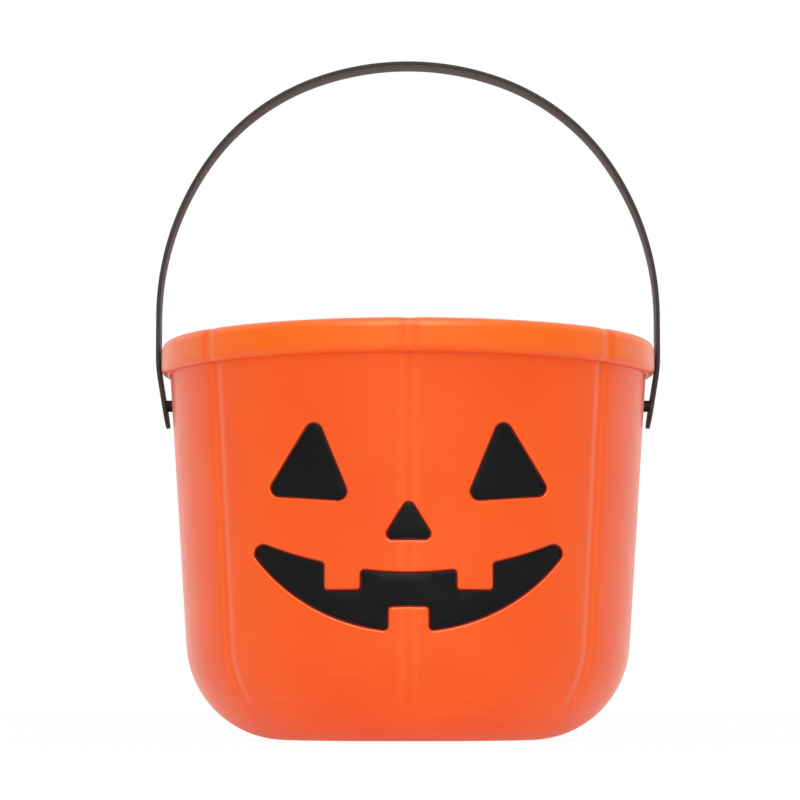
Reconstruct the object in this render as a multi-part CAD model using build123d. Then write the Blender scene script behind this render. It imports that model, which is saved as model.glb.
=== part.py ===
from build123d import *
from math import cos, radians, sin, sqrt, tan
import os

# Pumpkin candy pail: a moulded orange bucket, a black strap handle and black face inlays.
# Millimetres, Z up, origin on the table under the middle of the base. The face looks along -Y.

# Bucket wall: a tapered body of even thickness with a large rounded foot
pail_height = 143.3
wall = 1.6
wall_draft = 3.75
wall_radius_at_lip = 86.4
foot_round = 36.0
stand_ring_width = 7.1
panel_rise = 1.2
panel_flank = 1.5

# Lip: a flange turned over at the top, with a skirt that curls in below and stays clear of the wall
lip_overhang = 3.2
lip_height = 12.0
lip_top_round = 3.6
lip_curl = 2.7
lip_edge_round = 2.6
mouth_edge_bevel = 0.5

# Creases: shallow grooves that part the pumpkin's ribs and die away at the foot
crease_count = 7
crease_width = 8.4
crease_depth = 1.05
crease_valley_round = 5.0
crease_fade_drop = 1.15
crease_fade_easing = 4.0
crease_fade_sweep = 50.0
crease_lip_fade_round = 5.5
crease_lip_fade_sweep = 80.0

# Face: sunk panels, each with a rounded mouth and a thin black inlay
recess_depth = 1.5
recess_mouth_round = 0.6
inlay_thickness = 0.35
inlay_bond = 0.05
inlay_margin = 0.35

eye_width = 30.0
eye_height = 29.0
eye_spacing = 66.0
eye_lean = 5.0
eye_round = 3.0

nose_width = 18.0
nose_height = 14.5
nose_round = 2.0

grin_width = 114.0
grin_round = 1.4
grin_tip_round = 3.0
upper_tooth_width = 12.5
upper_tooth_drop = 8.0
upper_tooth_spacing = 45.0
lower_tooth_width = 14.0
lower_tooth_rise = 8.5

# Strap handle: a flat strap bent into an arch, with a snap stud moulded at each end
strap_thickness = 1.3
strap_width = 13.5
strap_lip_clearance = 0.6
arch_height = 247.0
crown_sweep = 20.0
shoulder_radius = 82.0
shoulder_sweep = 35.0
leg_straight_above_lip = 9.75
bend_above_lip_edge = 7.7
bend_radius = 54.0
bend_sweep = 9.5
tail_drop = 8.2

# Studs and their holes
pivot_below_lip = 10.5
stud_diameter = 4.2
stud_hole_clearance = 0.07
stud_head_diameter = 5.8
stud_head_length = 2.0
stud_tip_diameter = 4.0
stud_head_clearance = 0.35

# Every cut runs this far past the surface that it opens
overrun = 3.0

# Levels of the face, as shares of the straight wall between the foot's rounding and the lip
eye_level_share = 0.649
nose_level_share = 0.429
grin_tip_share = 0.388
grin_top_share = 0.241
grin_bottom_share = 0.037

# Other shares: middle of an edge, nearness to a surface, start of a face prism, root of an inner rib
middle_share = 0.5
near_share = 0.1
prism_start_share = 0.35
rib_root_share = 0.25

# What follows from the sizes above
lip_radius = wall_radius_at_lip + lip_overhang
lip_level = pail_height - lip_height
pivot_height = lip_level - pivot_below_lip
foot_reach = foot_round * tan(radians(90 - wall_draft) / 2)
foot_level = foot_reach * cos(radians(wall_draft))
straight_wall = lip_level - foot_level
eye_level = foot_level + straight_wall * eye_level_share
nose_level = foot_level + straight_wall * nose_level_share
grin_tip_level = foot_level + straight_wall * grin_tip_share
grin_top_level = foot_level + straight_wall * grin_top_share
grin_bottom_level = foot_level + straight_wall * grin_bottom_share


def wall_radius(level, inset=0):
    """Radius of the bucket wall at a level, set in from the outside by an even depth."""
    return wall_radius_at_lip - (lip_level - level) * tan(radians(wall_draft)) - inset / cos(radians(wall_draft))


def wall_form(inset, top, flare=0):
    """Solid of the bucket's outside, set in by an even depth, with an optional flared mouth."""
    foot = (wall_radius(inset, inset), inset)
    rim = (wall_radius(top, inset), top)
    points = [(0, inset), foot, rim, (rim[0] + flare, top), (rim[0] + flare, top + flare), (0, top + flare)]
    if flare == 0:
        points = [(0, inset), foot, rim, (0, top)]
    profile = make_face(Polyline(*points, close=True))
    profile = fillet(corner(profile, foot), foot_round - inset)
    if flare > 0:
        profile = chamfer(corner(profile, rim), mouth_edge_bevel)
    return revolve(Plane.XZ * profile, Axis.Z)


def corner(profile, point):
    """The vertex of a flat profile that lies at a given point."""
    return min(profile.vertices(), key=lambda v: (Vector(v.X, v.Y) - Vector(*point)).length)


def crease_tool(path, across, reach):
    """Shallow V with a rounded valley, swept along the run of a crease."""
    half = crease_width / 2
    profile = make_face(
        Polyline((-half, 0), (0, -crease_depth), (half, 0), (half, reach), (-half, reach), close=True)
    )
    profile = fillet(corner(profile, (0, -crease_depth)), crease_valley_round)
    return sweep(Plane(path @ 0, x_dir=across, z_dir=path % 0) * profile, path)


def wall_crease(inset, reach):
    """One crease down the wall, at a depth in from the outside, that leaves the foot's rounding."""
    top = pail_height + overrun
    low = foot_level - crease_fade_drop
    start = (wall_radius(top, inset), top)
    end = (wall_radius(low, inset), low)
    down = (end[0] - start[0], end[1] - start[1])
    fade = JernArc(end, down, foot_round + crease_fade_easing - inset, -crease_fade_sweep)
    path = Plane.XZ * Wire([Line(start, end), fade])
    return crease_tool(path, (0, 1, 0), reach)


def lip_crease():
    """One crease up the face of the lip, dying away over its rounded top."""
    low = lip_level - overrun
    high = pail_height - lip_top_round
    fade = JernArc((lip_radius, high), (0, 1), crease_lip_fade_round, crease_lip_fade_sweep)
    path = Plane.XZ * Wire([Line((lip_radius, low), (lip_radius, high)), fade])
    return crease_tool(path, (0, -1, 0), overrun)


def round_the_pail(tool):
    """Copies of a crease tool at even angles, the first in the middle of the face."""
    step = 360 / crease_count
    return [Rot(0, 0, -90 + step * i) * tool for i in range(crease_count)]


def rounded_triangle(width, height, corner_round, grow):
    """Upright triangle with rounded corners, grown or shrunk evenly."""
    half = width / 2
    outline = make_face(Polyline((-half, -height / 2), (half, -height / 2), (0, height / 2), close=True))
    outline = fillet(outline.vertices(), corner_round)
    return offset(outline, grow) if grow else outline


def left_eye(grow=0):
    """Triangle eye that leans towards the middle."""
    outline = rounded_triangle(eye_width, eye_height, eye_round, grow)
    return Pos(-eye_spacing / 2, eye_level) * Rot(0, 0, -eye_lean) * outline


def right_eye(grow=0):
    """The other eye, leaning the other way."""
    outline = rounded_triangle(eye_width, eye_height, eye_round, grow)
    return Pos(eye_spacing / 2, eye_level) * Rot(0, 0, eye_lean) * outline


def nose(grow=0):
    """Small triangle over the middle crease."""
    return Pos(0, nose_level) * rounded_triangle(nose_width, nose_height, nose_round, grow)


def grin_radius(mid_level):
    """Radius of a grin edge: the arc through both tips and its level in the middle."""
    half = grin_width / 2
    sag = grin_tip_level - mid_level
    return (half * half + sag * sag) / (2 * sag)


def grin(grow=0):
    """Crescent grin with two teeth above and one below, grown or shrunk evenly."""
    upper = grin_radius(grin_top_level)
    lower = grin_radius(grin_bottom_level)
    outline = Pos(0, grin_bottom_level + lower) * Circle(lower + grow)
    outline -= Pos(0, grin_top_level + upper) * Circle(upper - grow)
    tooth_x = upper_tooth_spacing / 2
    tooth_level = grin_top_level + upper - sqrt(upper**2 - tooth_x**2)
    tooth = Rectangle(upper_tooth_width - 2 * grow, 2 * (upper_tooth_drop - grow))
    outline -= Pos(-tooth_x, tooth_level) * tooth
    outline -= Pos(tooth_x, tooth_level) * tooth
    outline -= Pos(0, grin_bottom_level) * Rectangle(lower_tooth_width - 2 * grow, 2 * (lower_tooth_rise - grow))
    tip_start = tooth_x + upper_tooth_width
    outline = fillet([v for v in outline.vertices() if abs(v.X) > tip_start], grin_tip_round + grow)
    return fillet([v for v in outline.vertices() if abs(v.X) < tip_start], grin_round)


def face_prism(outline):
    """A face outline carried from inside the pail out through the front wall."""
    start = lip_radius * prism_start_share
    return extrude(Plane.XZ.offset(start) * outline, lip_radius + overrun - start)


def face_layer(outline, outer_depth, inner_depth):
    """The part of a face prism that lies between two depths in from the outside."""
    return (face_prism(outline) & wall_form(outer_depth, pail_height)) - wall_form(inner_depth, pail_height)


def recess_edges(body):
    """Edges where the sunk face panels break through the outside of the wall."""
    found = ShapeList()
    for edge in body.edges():
        middle = edge @ middle_share
        if middle.Y >= 0 or middle.Z < grin_bottom_level - overrun or middle.Z > eye_level + eye_height:
            continue
        if abs(sqrt(middle.X**2 + middle.Y**2) - wall_radius(middle.Z)) < recess_mouth_round * near_share:
            found.append(edge)
    return found


def pail_shell():
    """One moulding: wall, foot, lip, creases, sunk face panels and stud holes."""
    body = wall_form(0, pail_height)
    for outline in (left_eye, right_eye, nose, grin):
        body -= face_prism(outline()) - wall_form(recess_depth, pail_height)
    body = fillet(recess_edges(body), recess_mouth_round)
    body -= round_the_pail(wall_crease(0, overrun))

    flange_low = pail_height - wall
    inner = lip_radius - wall
    section = make_face(
        Polyline(
            (0, pail_height),
            (lip_radius, pail_height),
            (lip_radius, lip_level),
            (lip_radius - lip_curl, lip_level),
            (lip_radius - lip_curl, lip_level + wall),
            (inner, lip_level + wall),
            (inner, flange_low),
            (0, flange_low),
            close=True,
        )
    )
    section = fillet(corner(section, (lip_radius, pail_height)), lip_top_round)
    section = fillet(corner(section, (lip_radius, lip_level)), lip_edge_round)
    section = fillet(corner(section, (inner, lip_level + wall)), lip_edge_round - wall)
    lip = revolve(Plane.XZ * section, Axis.Z)
    lip -= round_the_pail(lip_crease())

    cavity = wall_form(wall, pail_height, overrun)
    cavity -= round_the_pail(wall_crease(wall, wall * rib_root_share))
    for outline in (left_eye, right_eye, nose, grin):
        cavity -= face_layer(outline(wall), wall, wall + recess_depth)
    cavity -= base_panel(wall)
    shell = body + lip - cavity - base_panel(0)
    hole = Cylinder(stud_diameter / 2 + stud_hole_clearance, 2 * (lip_radius + overrun), rotation=(0, 90, 0))
    shell -= Pos(0, 0, pivot_height) * hole
    return shell


def base_panel(inset):
    """Raised middle of the base, so that the pail stands on a ring."""
    wide = wall_radius(0) - foot_reach - stand_ring_width + inset
    panel = Cone(wide, wide - panel_flank, panel_rise, align=(Align.CENTER, Align.CENTER, Align.MIN))
    return Pos(0, 0, inset) * panel


def inlay(outline):
    """Thin black film that lies on the floor of its recess."""
    back = recess_depth - inlay_bond
    return face_layer(outline(-inlay_margin), back - inlay_thickness, back)


def arch_radii(reach, rise):
    """Radii of crown, shoulder and leg on the strap's middle line, for an arch of this reach and rise."""
    shoulder = shoulder_radius - strap_thickness / 2
    first = radians(crown_sweep)
    second = radians(crown_sweep + shoulder_sweep)
    reach_left = reach - shoulder * (sin(second) - sin(first))
    rise_left = rise - shoulder * (cos(first) - cos(second))
    scale = sin(first) * cos(second) - (1 - sin(second)) * (1 - cos(first))
    crown = (reach_left * cos(second) - rise_left * (1 - sin(second))) / scale
    side = (rise_left * sin(first) - reach_left * (1 - cos(first))) / scale
    return crown, shoulder, side


def strap_path():
    """Middle line of the right half of the strap, from the crown down to the tail."""
    top = arch_height - strap_thickness / 2
    leg_x = lip_radius + strap_lip_clearance + strap_thickness / 2
    crown, shoulder, side = arch_radii(leg_x, top - pail_height - leg_straight_above_lip)
    arch = JernArc((0, top), (1, 0), crown, -crown_sweep)
    bow = JernArc(arch @ 1, arch % 1, shoulder, -shoulder_sweep)
    leg = JernArc(bow @ 1, bow % 1, side, crown_sweep + shoulder_sweep - 90)
    bend_start = (leg_x, lip_level + bend_above_lip_edge)
    drop = Line(leg @ 1, bend_start)
    bend = JernArc(bend_start, (0, -1), bend_radius, -bend_sweep)
    lean = radians(bend_sweep)
    tail_length = ((bend @ 1).Y - (pivot_height - tail_drop) + strap_width) / cos(lean)
    tail_end = (bend @ 1) + (bend % 1) * tail_length
    tail = Line(bend @ 1, tail_end)
    return Wire([arch, bow, leg, drop, bend, tail])


def strap_middle_at_pivot():
    """Distance from the pail's axis to the middle of the strap at the height of the studs."""
    lean = radians(bend_sweep)
    bend_x = lip_radius + strap_lip_clearance + strap_thickness / 2 - bend_radius * (1 - cos(lean))
    bend_z = lip_level + bend_above_lip_edge - bend_radius * sin(lean)
    return bend_x - (bend_z - pivot_height) * tan(lean)


def snap_stud():
    """Stud from the strap through the wall, with a head that snaps in behind it."""
    root = strap_middle_at_pivot()
    reach = stud_head_diameter / 2
    seat = sqrt(wall_radius(pivot_height - reach, wall) ** 2 - reach**2) - stud_head_clearance
    profile = make_face(
        Polyline(
            (0, root),
            (stud_diameter / 2, root),
            (stud_diameter / 2, seat),
            (stud_head_diameter / 2, seat),
            (stud_tip_diameter / 2, seat - stud_head_length),
            (0, seat - stud_head_length),
            close=True,
        )
    )
    middle = Plane((0, 0, pivot_height), x_dir=(0, -1, 0), z_dir=(0, 0, 1))
    return revolve(middle * profile, Axis((0, 0, pivot_height), (1, 0, 0)))


def handle_strap():
    """Bent strap with rounded tails and both studs in one piece."""
    path = Plane.XZ * strap_path()
    section = Rectangle(strap_width, strap_thickness)
    half = sweep(Plane(path @ 0, x_dir=(0, 1, 0), z_dir=path % 0) * section, path)
    tail_level = pivot_height - tail_drop + strap_width / 2
    keep = Pos(0, tail_level) * Circle(strap_width / 2)
    body_height = arch_height + overrun - tail_level
    keep += Pos(0, tail_level + body_height / 2) * Rectangle(strap_width, body_height)
    half &= extrude(Plane.YZ * keep, lip_radius + wall + overrun)
    half += snap_stud()
    return half + mirror(half, Plane.YZ)


def build():
    """Make every piece and write it under its own name."""
    pieces = {
        "pail_shell": pail_shell(),
        "handle_strap": handle_strap(),
        "eye_inlay_left": inlay(left_eye),
        "eye_inlay_right": inlay(right_eye),
        "nose_inlay": inlay(nose),
        "mouth_inlay": inlay(grin),
    }
    os.makedirs("parts", exist_ok=True)
    for name, shape in pieces.items():
        export_step(shape, f"parts/{name}.step")


build()
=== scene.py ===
from math import acos, asin, atan2, cos, degrees, hypot, pi, radians, sin, sqrt, tan

import bmesh
import bpy
import numpy as np
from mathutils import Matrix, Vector
from mathutils.geometry import delaunay_2d_cdt
from mathutils.kdtree import KDTree


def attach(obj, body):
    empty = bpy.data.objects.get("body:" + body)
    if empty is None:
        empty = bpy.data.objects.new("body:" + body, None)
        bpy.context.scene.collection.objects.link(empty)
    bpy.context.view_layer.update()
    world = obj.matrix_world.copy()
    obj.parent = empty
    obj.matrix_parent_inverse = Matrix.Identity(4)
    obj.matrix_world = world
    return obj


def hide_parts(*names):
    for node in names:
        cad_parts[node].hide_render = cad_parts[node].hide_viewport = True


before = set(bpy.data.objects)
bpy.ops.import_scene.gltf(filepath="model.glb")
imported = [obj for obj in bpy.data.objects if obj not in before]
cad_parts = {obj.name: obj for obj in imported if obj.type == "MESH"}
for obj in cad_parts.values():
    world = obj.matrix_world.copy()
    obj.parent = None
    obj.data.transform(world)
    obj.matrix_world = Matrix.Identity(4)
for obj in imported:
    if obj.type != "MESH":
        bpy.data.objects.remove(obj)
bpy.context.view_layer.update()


# Pail shell: one injection moulding in orange polypropylene, of even wall and turned over at the lip.
# Seven shallow creases part its ribs, and it stands on a ring round the raised middle of its base.
# Four panels with rounded mouths are sunk in the front, and a hole in each side takes a handle stud.
MM = 0.001  # metres in a millimetre, the unit of all the sizes of the pieces
wall = 1.6
pail_height = 143.3
lip_level = 131.3
wall_draft = radians(3.75)
wall_radius_at_lip = 86.4
foot_round = 36.0
lip_radius = 89.6
lip_top_round = 3.6
lip_curl = 3.05
lip_edge_round = 2.6
mouth_edge_round = 0.5
stand_ring_width = 7.1
panel_rise, panel_flank = 1.2, 1.5
panel_edge_round, panel_root_round = 0.6, 0.45
crease_count = 7
crease_half_width = 4.2
crease_slope = 0.25
crease_valley_easing, crease_shoulder_easing = 0.6, 0.3
crease_fade_levels = (5.0, 24.0)
crease_share_at_curl, crease_share_on_lip = 0.3, 0.25
columns_per_rib, crowding = 60, 0.78
seam_weld, mesh_weld = 0.002, 0.0005
pivot_height = 120.8
stud_hole_radius = 2.17


def eased(value, low, high):
    """Smooth step from 0 at the low value to 1 at the high one."""
    t = min(1.0, max(0.0, (value - low) / (high - low)))
    return t * t * (3 - 2 * t)


def arc(centre_r, centre_z, radius, start, end, steps):
    """Points of an arc in the pail's half section, angles in degrees from the outward direction."""
    angles = [radians(start + (end - start) * i / steps) for i in range(steps + 1)]
    return [(centre_r + radius * cos(a), centre_z + radius * sin(a)) for a in angles]


def wall_radius(level, inset=0.0):
    """Radius of the straight wall at a level, set in by an even depth."""
    return wall_radius_at_lip - (lip_level - level) * tan(wall_draft) - inset / cos(wall_draft)


def plain(points):
    """Section points that no crease reaches."""
    return [(r, z, 0.0, 0.0) for r, z in points]


def upright(levels, inset):
    """Section points up the straight wall, pressed in towards the axis."""
    return [(wall_radius(z, inset), z, -1.0, 0.0) for z in levels]


def pressed(points, centre, shares):
    """Section points of an arc, each pressed towards its centre by a share of the crease."""
    made = []
    for (r, z), share in zip(points, shares):
        way = Vector((centre[0] - r, centre[1] - z)).normalized() * share
        made.append((r, z, way.x, way.y))
    return made


def pressed_foot(radius, start, end, steps):
    """Section points round the foot, where the creases fade out downwards."""
    points = arc(foot_centre, foot_round, radius, start, end, steps)
    shares = [eased(z, *crease_fade_levels) for r, z in points]
    return pressed(points, (foot_centre, foot_round), shares)


# The half section runs from the middle of the base up the outside, over the lip and down the inside.
draft_deg = degrees(wall_draft)
foot_centre = wall_radius(0) - foot_round * tan((pi / 2 - wall_draft) / 2)
foot_level = foot_round * (1 - sin(wall_draft))
face_rows, face_top = 27, 115.0
face_step = (face_top - foot_level) / face_rows
face_levels = [foot_level + face_step * i for i in range(1, face_rows + 1)]
upper_levels = [118.0, pivot_height, 123.6, 126.5, 129.0, lip_level, 134.0, 137.0, 140.0]
mouth_level = 141.2
panel_spots = [0.0, 12.0, 24.0]
panel_radius = foot_centre - stand_ring_width
panel_edge = panel_radius - panel_flank - panel_edge_round
panel_root = panel_radius + panel_root_round
section = plain([(r, panel_rise) for r in panel_spots])
section += plain(arc(panel_edge, panel_rise - panel_edge_round, panel_edge_round, 90, 50, 4))
section += plain(arc(panel_root, panel_root_round, panel_root_round, 215, 270, 4))
section += plain([(panel_radius + 3.0, 0.0)])
section += pressed_foot(foot_round, -90, -draft_deg, 30)
outer_first = len(section) - 1
section += upright(face_levels, 0.0)
outer_last = len(section) - 1
section += upright(upper_levels, 0.0)

# Under the lip: eased corners to the wall and to the skirt, then the curl with its edge.
flange_level = pail_height - wall
flange_root = wall_radius(flange_level)
skirt_radius = lip_radius - wall
skirt_levels = (139.0, 136.5)
section += plain([(flange_root - 0.02, flange_level - 0.4), (flange_root + 0.12, flange_level - 0.1)])
section += plain([(flange_root + 0.4, flange_level), (skirt_radius - 0.3, flange_level)])
section += plain([(skirt_radius - 0.08, flange_level - 0.1), (skirt_radius, flange_level - 0.4)])
section += plain([(skirt_radius, z) for z in skirt_levels])
curl_centre = (lip_radius - lip_edge_round, lip_level + lip_edge_round)
curl_edge = lip_radius - lip_curl
section += plain(arc(*curl_centre, lip_edge_round - wall, 0, -90, 8))
section += plain([(curl_edge, lip_level + wall - 0.2), (curl_edge, lip_level + 0.4)])
section += plain([(curl_edge + 0.1, lip_level + 0.1)])

# Over the lip, where the creases grow up the curl and shrink again towards the mouth.
lip_steps, mouth_steps = 14, 5
lip_band_levels = (134.9, 135.9, 136.9, 137.9, 138.8)
growth = [eased(i, 0, lip_steps) for i in range(lip_steps + 1)]
curl_shares = [crease_share_at_curl + (1 - crease_share_at_curl) * g for g in growth]
section += pressed(arc(*curl_centre, lip_edge_round, -86, 0, lip_steps), curl_centre, curl_shares)
section += [(lip_radius, z, -1.0, 0.0) for z in lip_band_levels]
lip_centre = (lip_radius - lip_top_round, pail_height - lip_top_round)
lip_shares = [1 - (1 - crease_share_on_lip) * g for g in growth]
section += pressed(arc(*lip_centre, lip_top_round, 0, 90, lip_steps), lip_centre, lip_shares)
mouth_centre = (wall_radius(pail_height, wall) + mouth_edge_round, pail_height - mouth_edge_round)
for i, (r, z) in enumerate(arc(*mouth_centre, mouth_edge_round, 98, 180, mouth_steps)):
    inward = i / mouth_steps
    section.append((r, z, -inward, crease_share_on_lip * (inward - 1)))

section += upright([mouth_level, *reversed(upper_levels)], wall)
inner_last = len(section)
section += upright(reversed(face_levels), wall)
inner_first = len(section)
section += pressed_foot(foot_round - wall, -draft_deg, -90, 26)
inner_root, inner_edge = panel_radius + wall, panel_radius + wall - panel_flank
inner_level = wall + panel_rise
section += plain([(inner_root + 0.4, wall), (inner_root, wall + 0.12)])
section += plain([(inner_edge + 0.1, inner_level - 0.12), (inner_edge - 0.5, inner_level)])
section += plain([(r, inner_level) for r in reversed(panel_spots)])

section_mesh = bpy.data.meshes.new("pail_half_section")
section_spots = [(p[0] * MM, 0, p[1] * MM) for p in section]
section_mesh.from_pydata(section_spots, [(i, i + 1) for i in range(len(section) - 1)], [])
press_layer = section_mesh.attributes.new("press", "FLOAT_VECTOR", "POINT")
press_layer.data.foreach_set("vector", [c for p in section for c in (p[2], 0.0, p[3])])


def linear(hex_code):
    """Linear colour with full alpha from an sRGB hex code."""
    channels = [int(hex_code[i : i + 2], 16) / 255 for i in (1, 3, 5)]
    return [c / 12.92 if c <= 0.04045 else ((c + 0.055) / 1.055) ** 2.4 for c in channels] + [1.0]


def add_node(tree, kind, inputs=None, **settings):
    """Adds a node with its settings, sets or links its inputs by name or number, and gives its outputs."""
    made = tree.nodes.new(kind)
    for name, value in settings.items():
        setattr(made, name, value)
    for name, value in (inputs or {}).items():
        if isinstance(value, bpy.types.NodeSocket):
            tree.links.new(value, made.inputs[name])
        else:
            made.inputs[name].default_value = value
    return made.outputs


def new_finish(name):
    """New material with an empty node tree, and the coordinates of its object."""
    made = bpy.data.materials.new(name)
    made.use_nodes = True
    made.node_tree.nodes.clear()
    return made, made.node_tree, add_node(made.node_tree, "ShaderNodeTexCoord")["Object"]


# Orange polypropylene, satin from the mould: pigment clouds and uneven gloss keep the wall from looking flat.
# The lip is painted paler, as painted light that shines through its thin wall, and the crease flanks carry
# painted highlights.
# Level rub lines from nesting mark the foot, and the recess sides darken to dark red with depth, as black ink
# that runs up them and as painted shade in them.
pigment_cloud, gloss_patch = 35.7, 14.3
grain_width, grain_depth = 0.455, 0.1  # really about 0.1 mm wide, too fine to show, so drawn coarser
rub_length, rub_height = 35.7, 1.4875  # really hair fine, so drawn as thick as they need to show
rub_levels, rub_strength = (8.0, 30.0), 0.22
lip_glow_levels = (130.0, 135.0)
light_reach = 3.0
orange, tree, place = new_finish("orange_polypropylene_satin")
clouds = {"Vector": place, "Scale": 1 / (pigment_cloud * MM), "Detail": 2.0, "Roughness": 0.5}
clouds = add_node(tree, "ShaderNodeTexNoise", clouds)["Fac"]
clouds = add_node(tree, "ShaderNodeMapRange", {"Value": clouds, 1: 0.3, 2: 0.7})["Result"]
height = add_node(tree, "ShaderNodeSeparateXYZ", {0: place})["Z"]
# painted light: the lip is lighter from here up, as if light shone through its thin wall
lip_glow = {"Value": height, 1: lip_glow_levels[0] * MM, 2: lip_glow_levels[1] * MM}
lip_glow = add_node(tree, "ShaderNodeMapRange", lip_glow, interpolation_type="SMOOTHSTEP")["Result"]
# painted highlight: paler orange along the crease flanks
flank_highlight = add_node(tree, "ShaderNodeAttribute", attribute_name="crease_flank")["Fac"]
stretch = (1.0, 1.0, rub_length / rub_height)
drawn = add_node(tree, "ShaderNodeVectorMath", {0: place, 1: stretch}, operation="MULTIPLY")[0]
rubs = {"Vector": drawn, "Scale": 1 / (rub_length * MM), "Detail": 3.0, "Roughness": 0.6}
rubs = add_node(tree, "ShaderNodeTexNoise", rubs)["Fac"]
rubs = add_node(tree, "ShaderNodeMapRange", {"Value": rubs, 1: 0.6, 2: 0.72})["Result"]
low = {"Value": height, 1: rub_levels[0] * MM, 2: rub_levels[1] * MM, 3: rub_strength, 4: 0.0}
low = add_node(tree, "ShaderNodeMapRange", low)["Result"]
rubs = add_node(tree, "ShaderNodeMath", {0: rubs, 1: low}, operation="MULTIPLY")[0]
# recess sides dark red with depth: black ink there, and painted shade
ink_and_shade = add_node(tree, "ShaderNodeAttribute", attribute_name="face_ink_and_shade")["Fac"]
shade = linear("#F45402")
for share, colour in (
    (clouds, "#FA5C04"),
    (lip_glow, "#FC6A0A"),
    (flank_highlight, "#FB6114"),
    (rubs, "#FF9A5E"),
    (ink_and_shade, "#8A1C0A"),
):
    shade = {0: share, 6: shade, 7: linear(colour)}
    shade = add_node(tree, "ShaderNodeMix", shade, data_type="RGBA")[2]
gloss = {"Vector": place, "Scale": 1 / (gloss_patch * MM), "Detail": 2.0, "Roughness": 0.5}
gloss = add_node(tree, "ShaderNodeTexNoise", gloss)["Fac"]
gloss = {"Value": gloss, 1: 0.3, 2: 0.7, 3: 0.28, 4: 0.35}
gloss = add_node(tree, "ShaderNodeMapRange", gloss)["Result"]
grain = {"Vector": place, "Scale": 1 / (grain_width * MM), "Detail": 2.0, "Roughness": 0.6}
grain = add_node(tree, "ShaderNodeTexNoise", grain)["Fac"]
grain = {"Height": grain, "Strength": 0.06, "Distance": grain_depth * MM}
grain = add_node(tree, "ShaderNodeBump", grain)["Normal"]
plastic = {
    "Base Color": shade,
    "Roughness": gloss,
    "Normal": grain,
    "IOR": 1.49,
    "Specular IOR Level": 0.35,
    "Sheen Weight": 0.16,
    "Sheen Roughness": 0.35,
    "Subsurface Weight": 0.2,
    "Subsurface Radius": (1.0, 0.35, 0.12),
    "Subsurface Scale": light_reach * MM,
}
plastic = add_node(tree, "ShaderNodeBsdfPrincipled", plastic)[0]
add_node(tree, "ShaderNodeOutputMaterial", {"Surface": plastic})


def new_tree(name, inputs):
    """New Geometry Nodes tree with these named inputs, and the sockets that they come from."""
    tree = bpy.data.node_groups.new(name, "GeometryNodeTree")
    for way in ("INPUT", "OUTPUT"):
        tree.interface.new_socket("Geometry", in_out=way, socket_type="NodeSocketGeometry")
    for label, (kind, _) in inputs.items():
        tree.interface.new_socket(label, in_out="INPUT", socket_type=kind)
    return tree, add_node(tree, "NodeGroupInput")


def grown(name, source_mesh, tree, inputs):
    """Plain mesh that a Geometry Nodes tree makes from a source mesh with these inputs."""
    holder = bpy.data.objects.new(name + "_source", source_mesh)
    bpy.context.scene.collection.objects.link(holder)
    modifier = holder.modifiers.new(tree.name, "NODES")
    modifier.node_group = tree
    for item in tree.interface.items_tree:
        if item.in_out == "INPUT" and item.name in inputs:
            modifier[item.identifier] = inputs[item.name][1]
    graph = bpy.context.evaluated_depsgraph_get()
    evaluated = holder.evaluated_get(graph)
    mesh = bpy.data.meshes.new_from_object(evaluated, preserve_all_data_layers=True, depsgraph=graph)
    mesh.name = name
    holder.modifiers.remove(modifier)
    bpy.data.objects.remove(holder)
    return mesh


# The blank is the half section turned round the axis, with the creases pressed in at even angles.
# Its columns crowd towards the creases, where the form needs them.
blank_inputs = {
    "Creases": ("NodeSocketInt", crease_count),
    "Columns per rib": ("NodeSocketInt", columns_per_rib),
    "Crowding": ("NodeSocketFloat", crowding),
    "Crease half width": ("NodeSocketFloat", crease_half_width * MM),
    "Crease slope": ("NodeSocketFloat", crease_slope),
    "Valley easing": ("NodeSocketFloat", crease_valley_easing * MM),
    "Shoulder easing": ("NodeSocketFloat", crease_shoulder_easing * MM),
    "Plastic": ("NodeSocketMaterial", orange),
}
blank, given = new_tree("pail_blank", blank_inputs)
source = given["Geometry"]
rows = add_node(blank, "GeometryNodeAttributeDomainSize", {"Geometry": source})["Point Count"]
index = {0: add_node(blank, "GeometryNodeInputIndex")[0], 1: rows}
row = add_node(blank, "FunctionNodeIntegerMath", index, operation="MODULO")[0]
column = add_node(blank, "FunctionNodeIntegerMath", index, operation="DIVIDE_FLOOR")[0]
sums = {label: given[label] for label in blank_inputs}
sums["column"] = column
press = {"Name": "press"}
press = add_node(blank, "GeometryNodeInputNamedAttribute", press, data_type="FLOAT_VECTOR")[0]
for label, value in (("section", add_node(blank, "GeometryNodeInputPosition")[0]), ("press", press)):
    taken = {"Geometry": source, "Value": value, "Index": row}
    taken = add_node(blank, "GeometryNodeSampleIndex", taken, data_type="FLOAT_VECTOR")[0]
    taken = add_node(blank, "ShaderNodeSeparateXYZ", {0: taken})
    sums[label + " out"], sums[label + " up"] = taken["X"], taken["Z"]

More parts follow.
